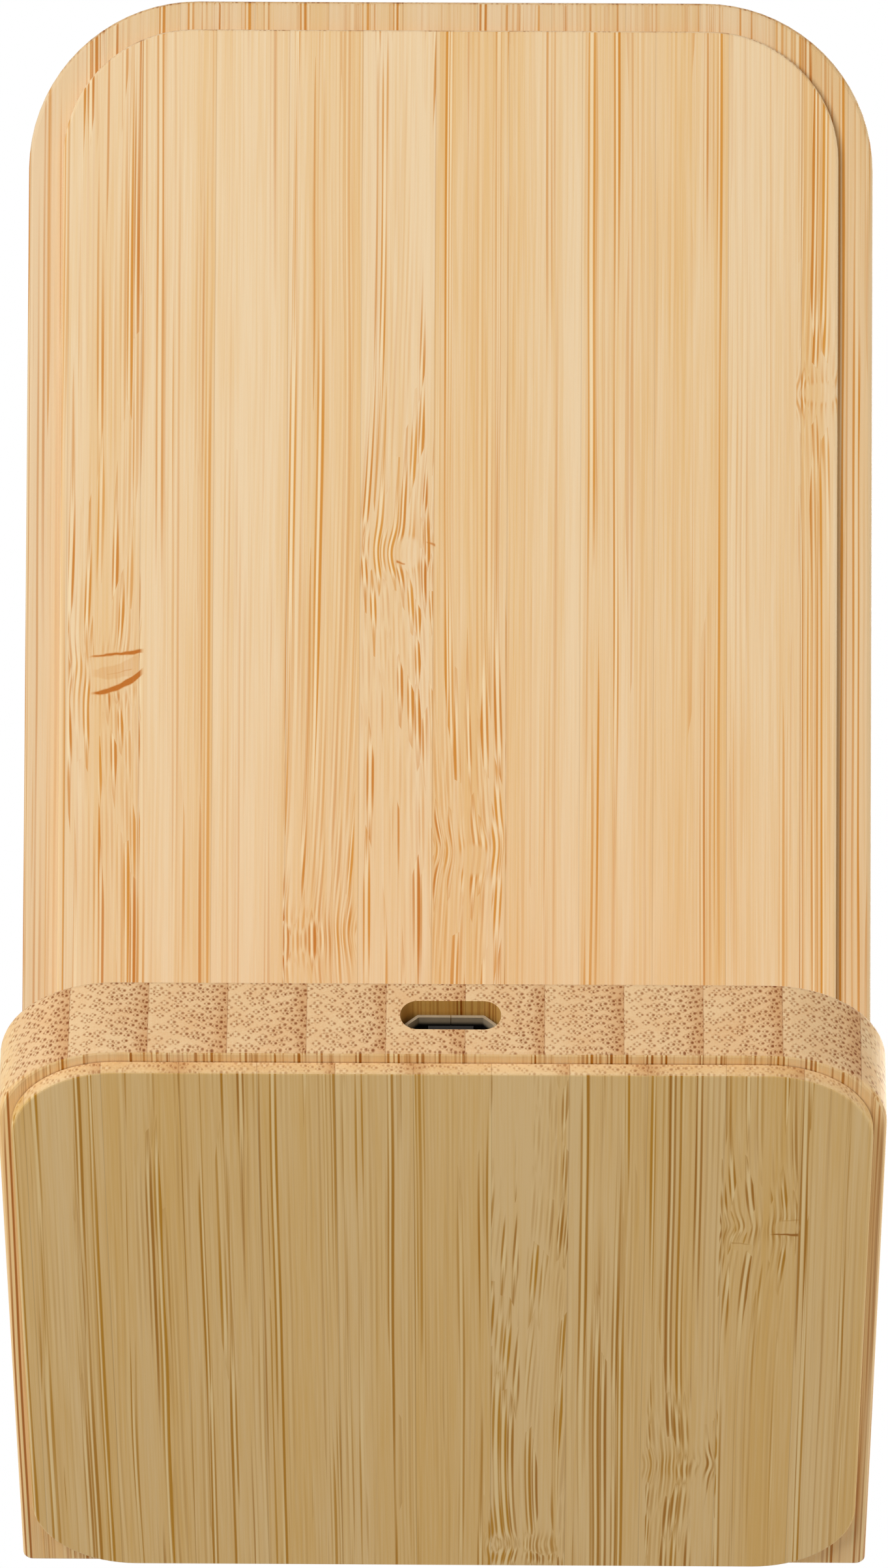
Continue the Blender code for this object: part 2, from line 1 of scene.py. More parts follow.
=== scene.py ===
"""Looks of the wireless charging stand: laminated bamboo, the USB port and a plain studio.

Metres and +Z up. The bamboo is a solid pattern, worked out in millimetres: bundles of fibre run
along each board, so its ends show them as dots and its faces as lines.
"""

import json
import math

import bmesh
import bpy
from mathutils import Matrix, Vector


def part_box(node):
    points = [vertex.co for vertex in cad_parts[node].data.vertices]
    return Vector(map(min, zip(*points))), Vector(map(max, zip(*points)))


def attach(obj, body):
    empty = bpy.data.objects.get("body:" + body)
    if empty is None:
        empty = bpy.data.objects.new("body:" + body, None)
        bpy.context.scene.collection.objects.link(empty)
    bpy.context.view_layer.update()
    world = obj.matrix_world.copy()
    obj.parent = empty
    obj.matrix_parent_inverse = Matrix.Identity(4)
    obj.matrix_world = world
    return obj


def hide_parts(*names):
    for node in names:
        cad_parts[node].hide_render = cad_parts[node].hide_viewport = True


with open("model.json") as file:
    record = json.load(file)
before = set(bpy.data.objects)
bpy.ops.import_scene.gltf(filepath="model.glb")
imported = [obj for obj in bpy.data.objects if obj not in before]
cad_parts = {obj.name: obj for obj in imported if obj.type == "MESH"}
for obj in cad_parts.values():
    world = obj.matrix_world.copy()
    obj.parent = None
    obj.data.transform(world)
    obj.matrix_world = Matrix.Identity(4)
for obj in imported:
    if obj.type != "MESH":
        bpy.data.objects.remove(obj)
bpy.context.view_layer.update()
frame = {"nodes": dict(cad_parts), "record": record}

mm_per_m = 1000.0
white = (1.0, 1.0, 1.0, 1.0)

# Camera of the photograph, placed from the middle of the port's end face
camera_from_port_end = (-0.0062, 0.6998, -0.5308)
camera_elevation = math.radians(38.708)
camera_azimuth = math.radians(-0.513)
camera_roll = math.radians(0.607)
camera_clip_start = 0.01
camera_clip_end = 20.0
focal_length_px = 16134.0
photo_height_px = 2406.0
sensor_mm = 36.0

# Place and lean of the panel board
panel_lean_angle = math.radians(55.0)
board_thickness = 0.0075
ledge_depth = 0.0098

# Folded shell of the port: its mouth's flare is given by distance from the mouth and lean outwards
shell_wall = 0.00025
shell_chamfer = 0.00095
shell_seam = 0.00006
shell_bend_radius = 0.0003
shell_least_bend = 0.00012
shell_bend_steps = 5
shell_sharp_angle = math.radians(40.0)
shell_flare = ((0.0, 0.00012), (0.0001, 0.00007), (0.0002, 0.00003), (0.00035, 0.0))
# Painted shade inside the port: the shell's colour darkens from the first depth to the second, in mm from
# its mouth
port_painted_shade_depths_mm = (0.45, 1.05)
# Painted shade in the port's slot: within this margin in mm of the shell's outline, the bamboo's colour is
# multiplied by the tint, darker and warmer
slot_painted_shade_margin_mm = 0.45
slot_painted_shade_tint = (0.74, 0.61, 0.30, 1.0)

# Bundles of fibre in a strip of bamboo, in mm. Each pair of values holds for the strip's sparse
# side, which is the culm's inside, and for its dense side.
sparse_bundles_per_mm = 1.12
bundle_crowding = 0.075
bundle_jitter = 0.6
bundle_shift_range = 90.0
row_slant = 0.42
row_slant_range = 0.7
cap_distances = (0.25, 0.16)
cap_radii_dense_side = (0.170, 0.210)
cap_radii_sparse_side = (0.155, 0.120)
cap_depths_sparse_side = (0.9, 0.6)
pole_distances = (0.24, 0.18)
pole_radius = 0.125
pole_depths = (0.75, 0.1)
end_dot_depths = (0.6, 1.0)
end_pith_depths = (0.55, 0.15)

# Marks of one bundle on a face and on the end grain
bundle_size_range = (0.85, 1.15)
face_cap_edge_share = 0.6
end_cap_edge_share = 0.7
face_cap_reach = 0.45
face_cap_thinness = 0.85
middle_fade = 1.6
ring_fade = 3.2
ring_depth = 0.3

# How far the fibres stray, in mm, for wander 0 and 1, and what a tilt and a knot do to them
stray_across = (0.4, 1.8)
stray_through = (1.0, 3.2)
tilt_across = 0.025
tilt_through = 0.07
knot_spread = 4.5
knot_swirl_across = 1.6
knot_swirl_through = 2.4
knot_line_gain = 0.9

# Noise in the bamboo, in waves per mm across, along and through a board, and its move for each strip
drift_waves = (0.10, 0.018, 0.10)
drift_per_strip = 7.3
swirl_waves = (0.30, 0.10, 0.20)
swirl_per_strip = 3.1
streak_waves = (1.0, 0.02, 1.4)
streak_per_strip = 9.7
broad_waves = (0.45, 0.012, 0.45)
broad_per_strip = 5.0
fine_waves = (5.5, 0.07, 5.5)
ridge_waves = (4.0, 0.06, 4.0)

# Lines on the faces: each pair of depths holds for a faint bundle and for a clear one
faint_bundle_share = 0.5
faint_bundle_contrast = 4.0
streak_contrast = 6.0
streak_cut = 2.3
line_depths = (0.14, 1.35)
pith_depths = (0.2, 1.0)
knot_line_depth = 0.5
knot_pith_depth = 0.4
line_hue_range = (0.25, 1.15)
halo_spread = 2.0
halo_depth = 0.45
scar_fade = 1.6
scar_bareness = 0.85

# Where a surface starts to count as end grain or as a side and where it fully does, by how far it
# faces that way from 0 to 1
end_facing = (0.3, 0.65)
side_facing = (0.5, 0.8)

# End grain: its dots differ in darkness, and each strip darkens towards its dense side
end_dot_range = (0.75, 1.0)
end_seam_shares = (0.75, 1.0)
end_seam_depth = 0.4

# Ground colour between its two hues, and what moves it
hue_middle = 0.35
hue_by_strip = 0.7
hue_by_broad_noise = 1.0
hue_by_fine_noise = 1.6
hue_by_density = 0.25

# Glue lines in the seams: half width in mm, range along the seam and darkness
glue_half_width = 0.07
glue_range = (0.25, 1.15)
face_glue_depth = 0.4
end_glue_depth = 0.5

# Short cracks beside the knots: they start blunt and thick, waver, and end in a fading tip
dash_waves_across = 0.8
dash_waves_along = 0.2
dash_waver = 0.4
dash_start_width = 1.15
dash_taper = 0.85
dash_width_waver = 0.8
dash_softness = 0.14
dash_start_depth = 0.8
dash_start_rise = 12.0
dash_tip_fade = 8.0

# Surface of the sanded bamboo
ridge_strength = 0.35
ridge_height = 0.00003
bamboo_roughness = 0.5
fine_roughening = 0.12
end_roughening = 0.12
cap_smoothing = 0.06
bamboo_specular = 0.25
bamboo_sheen = 0.04
bamboo_sheen_roughness = 0.3

# Finish of the small parts
plain_waves_per_m = 900.0
plain_contrast = 0.12
plain_roughness_range = 0.12

# Studio: lamps, light from all around, and the floor
lamp_target = (0.0, 0.0, 0.04)
lamp_distance = 0.9
ambient_level = 0.38
ambient_tint = (1.04, 0.97, 0.84, 1.0)
floor_half_side = 1.5
floor_drop = 0.0003
floor_roughness = 0.9
floor_glow = 0.3
floor_fade_radii = (0.25, 0.9)


def srgb(red, green, blue):
    """Colour on the 0 to 255 scale as the shader's own linear one."""
    linear = [((v / 255 + 0.055) / 1.055) ** 2.4 for v in (red, green, blue)]
    return (*linear, 1.0)


looks = {
    "face": {
        "ground": srgb(240, 214, 175),
        "ground_2": srgb(232, 192, 133),
        "cap": srgb(192, 110, 14),
        "cap_2": srgb(215, 148, 52),
        "pith": srgb(247, 224, 182),
        "glue": srgb(150, 104, 60),
        "end_ground": srgb(240, 213, 176),
        "end_ground_2": srgb(232, 196, 150),
        "end_strength": 0.5,
    },
    "margin": {
        "ground": srgb(232, 204, 165),
        "ground_2": srgb(226, 190, 137),
        "cap": srgb(180, 102, 10),
        "cap_2": srgb(208, 141, 48),
        "pith": srgb(238, 213, 171),
        "glue": srgb(146, 100, 56),
        "end_ground": srgb(233, 198, 150),
        "end_ground_2": srgb(224, 182, 131),
        "end_strength": 0.7,
    },
    "base": {
        "ground": srgb(246, 211, 160),
        "ground_2": srgb(240, 194, 128),
        "cap": srgb(148, 76, 0),
        "cap_2": srgb(184, 114, 10),
        "pith": srgb(252, 222, 166),
        "glue": srgb(130, 80, 30),
        "end_ground": srgb(236, 202, 157),
        "end_ground_2": srgb(228, 184, 135),
        "end_strength": 1.0,
    },
    # The base cover's downward face: the same bamboo as the panel's cover, painted darker and warmer as
    # painted shade with warm light bounced up from below
    "underside_painted_shade": {
        "ground": srgb(232, 199, 144),
        "ground_2": srgb(223, 181, 109),
        "cap": srgb(156, 97, 4),
        "cap_2": srgb(187, 131, 6),
        "pith": srgb(241, 212, 156),
        "glue": srgb(120, 76, 28),
        "end_ground": srgb(236, 203, 154),
        "end_ground_2": srgb(224, 184, 128),
        "end_strength": 0.55,
    },
}
end_cap = srgb(122, 56, 2)
end_halo = srgb(206, 142, 78)
end_pith = srgb(240, 212, 168)
end_seam = srgb(190, 128, 70)
# Colour of the painted shade far inside the port
port_painted_shade_colour = srgb(14, 12, 10)
floor_colour = srgb(240, 240, 238)

# Finishes of the small parts by the record's material slots
small_finishes = {
    "dowel_wood": {"colour": srgb(214, 182, 140), "roughness": 0.7},
    # The shell gets painted shade that darkens it further inside the port
    "shell_steel": {"colour": srgb(190, 174, 146), "roughness": 0.5, "metallic": 0.3, "painted_port_shade": True},
    "black_plastic": {"colour": srgb(22, 20, 18), "roughness": 0.6},
    "contact_gold": {"colour": srgb(214, 172, 92), "roughness": 0.3, "metallic": 1.0},
    "circuit_green": {"colour": srgb(30, 92, 52), "roughness": 0.4},
    "capacitor_ceramic": {"colour": srgb(160, 134, 100), "roughness": 0.5},
    "ferrite": {"colour": srgb(58, 58, 61), "roughness": 0.65},
    "coil_copper": {"colour": srgb(190, 112, 66), "roughness": 0.4, "metallic": 1.0},
    "lead_sleeve": {"colour": srgb(184, 112, 70), "roughness": 0.6},
    "foam": {"colour": srgb(74, 74, 76), "roughness": 0.9},
}

# Each board is glued from strips of one pitch, and one of their seams is placed across the board in mm.
# strips: line strength, warmth, wander of the fibres and side of the dense edge, from first_strip on.
# What wander has over 1 tilts the fibres out of the face, so that they show as short slanted lines.
# knots: place across and along the board, reach along it, and how far it pushes the fibres across
# and through it. scars: bare patches by their middle and half size. dashes: short dark cracks from
# their thick end to their thin one, with sag in the middle, half thickness and strength.
boards = {
    "base_board": {
        "frame": "base",
        "pitch": 6.65,
        "seam": 4.72,
        "seed": 11.0,
        "look": "base",
        "first_strip": -7,
        "strips": (
            (2.0, 0.5, 0.2, 0.0),
            (2.2, 0.4, 0.3, 0.0),
            (1.6, 0.6, 0.2, 0.0),
            (2.0, 0.3, 0.2, 0.0),
            (1.8, 0.5, 0.4, 0.0),
            (2.2, 0.4, 0.2, 0.0),
            (2.0, 0.6, 0.2, 0.0),
            (1.6, 0.2, 0.3, 0.0),
            (2.0, 0.5, 0.2, 0.0),
            (2.2, 0.4, 0.2, 0.0),
            (2.0, 0.3, 0.3, 0.0),
            (2.2, 0.5, 0.2, 0.0),
        ),
        "knots": ((21.0, -22.0, 2.6, 0.8, 1.4), (-12.0, 4.0, 2.4, -0.7, 1.3)),
        "scars": (),
        "dashes": (),
    },
    "base_cover": {
        "frame": "base",
        "pitch": 6.55,
        "seam": -23.8,
        "seed": 23.0,
        # Painted shade: this downward face takes the darker, warmer look
        "look": "underside_painted_shade",
        "first_strip": -2,
        "strips": (
            (1.2, 0.4, 0.4, 0.0),
            (0.9, 0.7, 0.2, 0.0),
            (1.6, 0.4, 0.2, 1.0),
            (1.2, 0.2, 0.5, 0.0),
            (1.5, 0.0, 2.0, 0.0),
            (0.9, 0.7, 0.3, 1.0),
            (1.6, 0.3, 0.4, 0.0),
            (1.3, 0.6, 0.2, 0.0),
            (1.6, 0.5, 0.3, 1.0),
            (1.5, 0.7, 0.8, 0.0),
            (1.3, 0.4, 0.2, 0.0),
            (1.1, 0.5, 0.2, 0.0),
        ),
        "knots": (
            (-26.9, 7.8, 1.7, -0.9, 1.2),
            (-20.7, -27.4, 1.7, -0.6, 1.3),
            (-6.8, -39.8, 1.6, -0.7, 1.3),
        ),
        "scars": ((-29.3, 8.0, 1.3, 1.4), (-25.6, 5.2, 1.1, 0.7)),
        "dashes": (
            (-30.3, 9.1, -28.7, 9.0, 0.0, 0.08, 0.5),
            (-30.3, 7.0, -27.9, 7.05, 0.0, 0.16, 1.0),
            (-24.7, 5.8, -26.3, 5.6, 0.0, 0.07, 0.6),
        ),
    },
    "panel_board": {
        "frame": "panel",
        "pitch": 6.6,
        "seam": 4.3,
        "seed": 37.0,
        "look": "margin",
        "first_strip": -7,
        "strips": (
            (1.2, 0.5, 0.2, 0.0),
            # The strip that shows beside the cover's right edge: its lines are made extra strong and warm,
            # partly dense grain and partly painted shade of the cover's shadow
            (3.0, 1.0, 0.2, 0.0),
            (1.0, 0.4, 0.3, 0.0),
            (0.8, 0.7, 0.2, 0.0),
            (1.4, 0.4, 0.6, 0.0),
            (0.9, 0.3, 0.2, 0.0),
            (1.2, 0.5, 0.3, 0.0),
            (1.4, 0.6, 0.2, 0.0),
            (1.6, 0.5, 0.4, 0.0),
            (1.3, 0.3, 0.2, 0.0),
            (1.2, 0.5, 0.3, 0.0),
            (1.1, 0.0, 0.2, 0.0),
        ),
        "knots": ((20.8, 84.0, 2.4, 0.8, 1.5), (-12.2, 30.0, 2.4, -0.8, 1.5)),
        "scars": (),
        "dashes": (),
    },
    "panel_cover": {
        "frame": "panel",
        "pitch": 6.5,
        "seam": 1.33,
        "seed": 41.0,
        "look": "face",
        "first_strip": -6,
        "strips": (
            (1.3, 0.5, 0.2, 1.0),
            (0.4, 0.2, 0.2, 0.0),
            (0.8, 0.7, 0.1, 0.0),
            (1.0, 0.5, 0.3, 0.0),
            (0.4, 0.4, 0.1, 1.0),
            (1.5, 0.6, 0.2, 1.0),
            (0.9, 0.2, 1.4, 0.0),
            (2.0, 0.5, 0.4, 0.0),
            (0.25, 0.1, 0.1, 0.0),
            (0.5, 0.3, 0.1, 0.0),
            (1.0, 0.3, 0.4, 0.0),
            (0.6, 0.3, 0.1, 0.0),
        ),
        "knots": (
            (30.4, 61.4, 2.2, 0.4, 1.6),
            (4.6, 72.5, 2.2, 0.9, 1.6),
            (-2.0, 45.8, 1.9, -0.8, 1.4),
            (11.2, 38.0, 2.2, 1.4, 0.9),
            (-34.0, 86.5, 1.4, 0.3, 1.2),
        ),
        "scars": (
            (29.6, 61.5, 3.0, 2.3),
            (3.6, 72.2, 1.4, 1.8),
            (-2.4, 45.0, 1.7, 1.7),
            (-32.9, 86.6, 1.9, 1.1),
        ),
        "dashes": (
            (27.2, 63.4, 31.9, 62.8, 0.05, 0.17, 1.0),
            (27.2, 61.4, 31.7, 59.6, 0.45, 0.30, 1.0),
            (28.0, 61.8, 30.4, 61.3, 0.1, 0.05, 0.7),
            (27.4, 62.3, 31.6, 61.4, 0.3, 0.75, 0.25),
            (4.6, 71.4, 3.8, 71.2, 0.0, 0.11, 0.9),
            (1.2, 72.9, 2.0, 73.2, 0.0, 0.10, 0.8),
        ),
    },
}


class Value:
    """Output of a shader node that is used in sums like a number."""

    def __init__(self, socket):
        self.socket = socket
        self.tree = socket.id_data

    def __add__(self, other):
        return calc("ADD", self, other)

    def __radd__(self, other):
        return calc("ADD", other, self)

    def __sub__(self, other):
        return calc("SUBTRACT", self, other)

    def __rsub__(self, other):
        return calc("SUBTRACT", other, self)

    def __mul__(self, other):
        return calc("MULTIPLY", self, other)

    def __rmul__(self, other):
        return calc("MULTIPLY", other, self)

    def __truediv__(self, other):
        return calc("DIVIDE", self, other)

    def __neg__(self):
        return calc("MULTIPLY", self, -1.0)


def plug(socket, value):
    """Links a node's output to the socket, or sets a number or colour on it."""
    if isinstance(value, Value):
        socket.id_data.links.new(value.socket, socket)
    else:
        socket.default_value = value


def calc(operation, *terms, clamp=False):
    """Result of a math node, of whose terms at least one is a Value."""
    tree = next(term.tree for term in terms if isinstance(term, Value))
    node = tree.nodes.new("ShaderNodeMath")
    node.operation = operation
    node.use_clamp = clamp
    for socket, term in zip(node.inputs, terms):
        plug(socket, term)
    return Value(node.outputs[0])


def clamp(value):
    """Value held from 0 to 1."""
    return calc("ADD", value, 0.0, clamp=True)


def larger(*values):
    """Largest of the values."""
    result = values[0]
    for value in values[1:]:
        result = calc("MAXIMUM", result, value)
    return result


def smooth(value):
    """Eases a value from 0 to 1."""
    held = clamp(value)
    return held * held * (3.0 - 2.0 * held)


def ramp(value, ends):
    """Eases from 0 at the first of two ends to 1 at the second."""
    start, end = ends
    return smooth((value - start) / (end - start))


def between(share, low, high):
    """Number between low and high."""
    return low + share * (high - low)


def swing(share, reach):
    """Number that goes from -reach / 2 to reach / 2 while share goes from 0 to 1."""
    return (share - 0.5) * reach


def mix(share, low, high, blend="MIX"):
    """Colour between low and high."""
    tree = next(item.tree for item in (share, low, high) if isinstance(item, Value))
    node = tree.nodes.new("ShaderNodeMix")
    node.data_type = "RGBA"
    node.blend_type = blend
    plug(node.inputs["Factor"], share)
    plug(node.inputs[6], low)
    plug(node.inputs[7], high)
    return Value(node.outputs[2])


def vector_of(x, y, z):
    tree = next(item.tree for item in (x, y, z) if isinstance(item, Value))
    node = tree.nodes.new("ShaderNodeCombineXYZ")
    for socket, value in zip(node.inputs, (x, y, z)):
        plug(socket, value)
    return Value(node.outputs[0])


def parts_of(vector):
    node = vector.tree.nodes.new("ShaderNodeSeparateXYZ")
    plug(node.inputs[0], vector)
    return [Value(socket) for socket in node.outputs]


def noise(x, y, z, detail=0.0):
    """Smooth noise as three values from 0 to 1."""
    vector = vector_of(x, y, z)
    node = vector.tree.nodes.new("ShaderNodeTexNoise")
    plug(node.inputs["Vector"], vector)
    node.inputs["Scale"].default_value = 1.0
    node.inputs["Detail"].default_value = detail
    return parts_of(Value(node.outputs["Color"]))


def grain(place, waves, shift=(0.0, 0.0, 0.0), detail=0.0):
    """Noise by its waves per mm across, along and through a board, moved by shift."""
    moved = [value * count + step for value, count, step in zip(place, waves, shift)]
    return noise(*moved, detail=detail)


def dice(x, y=0.0):
    """Three random values from 0 to 1, the same for equal x and y."""
    vector = vector_of(x, y, 0.0)
    node = vector.tree.nodes.new("ShaderNodeTexWhiteNoise")
    node.noise_dimensions = "2D"
    plug(node.inputs["Vector"], vector)
    return parts_of(Value(node.outputs["Color"]))


def new_material(name):
    """Material with its tree and its Principled shader."""
    material = bpy.data.materials.new(name)
    material.use_nodes = True
    tree = material.node_tree
    return material, tree, tree.nodes["Principled BSDF"]


def board_coordinates(tree, frame_name):
    """Places across, along and through a board in mm, and how far the surface faces along and across."""
    place = tree.nodes.new("ShaderNodeTexCoord")
    turn = tree.nodes.new("ShaderNodeMapping")
    turn.vector_type = "TEXTURE"
    surface = tree.nodes.new("ShaderNodeNewGeometry")
    along = tree.nodes.new("ShaderNodeVectorMath")
    along.operation = "DOT_PRODUCT"
    along.inputs[1].default_value = (0.0, 1.0, 0.0)
    if frame_name == "panel":
        low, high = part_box("base_board")
        joint_y = low.y + ledge_depth + board_thickness / math.sin(panel_lean_angle)
        turn.inputs["Location"].default_value = (0.0, joint_y, high.z)
        turn.inputs["Rotation"].default_value = (panel_lean_angle, 0.0, 0.0)
        along.inputs[1].default_value = (0.0, math.cos(panel_lean_angle), math.sin(panel_lean_angle))
    turn.inputs["Scale"].default_value = (1.0 / mm_per_m, 1.0 / mm_per_m, 1.0 / mm_per_m)
    tree.links.new(place.outputs["Object"], turn.inputs["Vector"])
    tree.links.new(surface.outputs["Normal"], along.inputs[0])
    x, y, z = parts_of(Value(turn.outputs["Vector"]))
    sideways, _, _ = parts_of(Value(surface.outputs["Normal"]))
    return x, y, z, calc("ABSOLUTE", Value(along.outputs["Value"])), calc("ABSOLUTE", sideways)


def strip_facts(strip, board):
    """Line strength, warmth, wander and turned side of the strip, from the board's rows."""
    rows = board["strips"]
    node = strip.tree.nodes.new("ShaderNodeValToRGB")
    node.color_ramp.interpolation = "CONSTANT"
    stops = node.color_ramp.elements
    stops.remove(stops[1])
    stops[0].position = 0.0
    stops[0].color = rows[0]
    for index in range(1, len(rows)):
        stop = stops.new(index / len(rows))
        stop.color = rows[index]
    plug(node.inputs["Fac"], (strip - board["first_strip"] + 0.5) / len(rows))
    return *parts_of(Value(node.outputs["Color"])), Value(node.outputs["Alpha"])


def knot_pushes(x, y, board):
    """The board's knots: 1 in the middle of one, 1 around it, its push on the fibres across and through."""
    core, near, push_across, push_through = 0.0, 0.0, 0.0, 0.0
    for across, at, reach, far_across, far_through in board["knots"]:
        inside = calc("LESS_THAN", calc("ABSOLUTE", x - across), board["pitch"] / 2)
        distance = (y - at) / reach
        square = distance * distance
        core = calc("EXPONENT", -square) * inside + core
        wide = calc("EXPONENT", (1.0 - calc("SQRT", square + 1.0)) / knot_spread) * inside
        near = wide + near
        push_across = wide * far_across + push_across
        push_through = wide * far_through + push_through
    return core, near, push_across, push_through


def scar_cover(x, y, board):
    """1 in the bare patches beside the knots."""
    cover = 0.0
    for across, at, half_x, half_y in board["scars"]:
        side_x = (x - across) / half_x
        side_y = (y - at) / half_y
        square = side_x * side_x + side_y * side_y
        cover = calc("MAXIMUM", smooth(scar_fade - scar_fade * square), cover)
    return cover


def dash_marks(x, y, board):
    """Darkness of the short cracks, which taper and waver from one end to the other."""
    marks = 0.0
    waver = noise(x * dash_waves_across, y * dash_waves_along, board["seed"], detail=1.0)
    for x_0, y_0, x_1, y_1, sag, half, strength in board["dashes"]:
        share = (x - x_0) / (x_1 - x_0)
        line = y_0 + share * (y_1 - y_0) - share * (1.0 - share) * (4.0 * sag)
        line = line + swing(waver[0], dash_waver)
        width = half * (dash_start_width - share * dash_taper + swing(waver[1], dash_width_waver))
        edge = clamp((width - calc("ABSOLUTE", y - line)) / dash_softness + 0.5)
        inside = clamp(share * dash_start_rise + dash_start_depth) * clamp((1.0 - share) * dash_tip_fade)
        marks = calc("MAXIMUM", edge * inside * strength, marks)
    return marks


def slot_painted_shade_cover(x, z):
    """Mask of painted shade: 1 on the milled walls of the port's slot."""
    low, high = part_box("usb_shell")
    middle = (low + high) / 2 * mm_per_m
    half = (high - low) / 2 * mm_per_m
    beside = calc("ABSOLUTE", x - middle.x) - half.x
    above = calc("ABSOLUTE", z - middle.z) - half.z
    return calc("LESS_THAN", calc("MAXIMUM", beside, above), slot_painted_shade_margin_mm)


def bundles(depth_in_strip, z, strip_dice):
    """Nearest bundle of fibre: offset from it towards the dense side and through the board, and facts.

    The bundles lie on a jittered grid, bent so that they crowd evenly towards the dense side."""
    slant = row_slant + swing(strip_dice[0], row_slant_range)
    radius = calc("EXPONENT", depth_in_strip * bundle_crowding) * (sparse_bundles_per_mm / bundle_crowding)
    angle = z * bundle_crowding + slant
    shift_x = strip_dice[1] * bundle_shift_range
    shift_y = strip_dice[2] * bundle_shift_range
    grid_x = radius * calc("COSINE", angle) + shift_x
    grid_y = radius * calc("SINE", angle) + shift_y
    cells = grid_x.tree.nodes.new("ShaderNodeTexVoronoi")
    cells.voronoi_dimensions = "2D"
    cells.inputs["Scale"].default_value = 1.0
    cells.inputs["Randomness"].default_value = bundle_jitter
    plug(cells.inputs["Vector"], vector_of(grid_x, grid_y, 0.0))
    centre_x, centre_y, _ = parts_of(Value(cells.outputs["Position"]))
    centre_x = centre_x - shift_x
    centre_y = centre_y - shift_y
    centre_radius = calc("SQRT", centre_x * centre_x + centre_y * centre_y)
    centre_depth = calc("LOGARITHM", centre_radius * (bundle_crowding / sparse_bundles_per_mm), math.e)
    centre_depth = centre_depth / bundle_crowding
    centre_z = (calc("ARCTAN2", centre_y, centre_x) - slant) / bundle_crowding
    facts = parts_of(Value(cells.outputs["Color"]))
    return depth_in_strip - centre_depth, z - centre_z, centre_depth, facts


def spot(across, through, radius, edge_share):
    """Round spot: 1 inside, 0 past its radius, and softer with a larger edge share."""
    distance = calc("SQRT", across * across + through * through)
    return clamp((radius - distance) / (radius * edge_share))


def bundle_marks(across, through, dense_share, facts, end):
    """Fibre caps and pale middle of a bundle: two caps across the strip, two smaller poles between.

    On a face the caps count as thinner across, so that they draw fine lines."""
    size = between(facts[0], *bundle_size_range)
    cap_size = size * between(end, face_cap_thinness, 1.0)
    cap_distance = between(dense_share, *cap_distances) * size
    dense_radius = between(dense_share, *cap_radii_dense_side) * cap_size
    sparse_radius = between(dense_share, *cap_radii_sparse_side) * cap_size
    pole_distance = between(dense_share, *pole_distances) * size
    edge = between(end, face_cap_edge_share, end_cap_edge_share)
    dense_cap = spot(across - cap_distance, through, dense_radius, edge)
    sparse_cap = spot(across + cap_distance, through, sparse_radius, edge)
    sparse_cap = sparse_cap * between(dense_share, *cap_depths_sparse_side)
    pole = spot(across, calc("ABSOLUTE", through) - pole_distance, pole_radius, edge)
    pole = pole * between(dense_share, *pole_depths)
    share_x = across / cap_distance
    share_z = through / pole_distance
    from_middle = calc("SQRT", share_x * share_x + share_z * share_z)
    middle = clamp(middle_fade - middle_fade * from_middle)
    ring = clamp(1.0 - ring_fade * calc("ABSOLUTE", from_middle - 1.0))
    return larger(dense_cap, sparse_cap, pole, ring * ring_depth), middle


def halo(marks):
    """Soft surround of dark marks."""
    return clamp(marks * halo_spread) * halo_depth


def fibre_shifts(place, strip, wander, turned, board):
    """How far the fibres lie off a straight course across and through a board, and the board's knots."""
    x, y, _ = place
    seed = board["seed"]
    knot, near_knot, push_across, push_through = knot_pushes(x, y, board)
    tilted = larger(wander - 1.0, 0.0) * y
    wander = clamp(wander)
    drift = grain(place, drift_waves, (strip * drift_per_strip, seed, 0.0), detail=1.0)
    swirl = grain(place, swirl_waves, (seed, 0.0, strip * swirl_per_strip))
    across = swing(drift[0], between(wander, *stray_across)) + swing(swirl[0], knot) * knot_swirl_across
    across = across + push_across * (1.0 - 2.0 * turned) - tilted * tilt_across
    through = swing(drift[1], between(wander, *stray_through)) + swing(swirl[1], knot) * knot_swirl_through
    through = through + push_through + tilted * tilt_through
    return across, through, knot, near_knot


def face_colours(place, board, caps, middle, facts, fade, knot, hue, glue):
    """Colour of a board's faces: brown and pale lines on their ground, patches, cracks, glue lines and
    painted shade in the port's slot.
    """
    x, y, z = place
    look = looks[board["look"]]
    shown = 1.0 - scar_cover(x, y, board) * scar_bareness
    chosen = clamp((facts[1] - faint_bundle_share) * faint_bundle_contrast)
    lines = caps * clamp(fade * between(chosen, *line_depths) + knot * knot_line_depth) * shown
    pale = middle * clamp(fade * between(chosen, *pith_depths) + knot * knot_pith_depth) * shown
    line_colour = mix(clamp(between(facts[2], *line_hue_range)), look["cap"], look["cap_2"])
    colour = mix(hue, look["ground"], look["ground_2"])
    colour = mix(pale, colour, look["pith"])
    colour = mix(halo(lines), colour, look["cap_2"])
    colour = mix(lines, colour, line_colour)
    # Painted shade: the port's slot walls are multiplied darker and warmer
    if board["frame"] == "base":
        colour = mix(slot_painted_shade_cover(x, z), colour, slot_painted_shade_tint, blend="MULTIPLY")
    if board["dashes"]:
        dashes = dash_marks(x, y, board)
        colour = mix(dashes, colour, mix(dashes, look["cap_2"], look["cap"]))
    return mix(glue * face_glue_depth, colour, look["glue"])


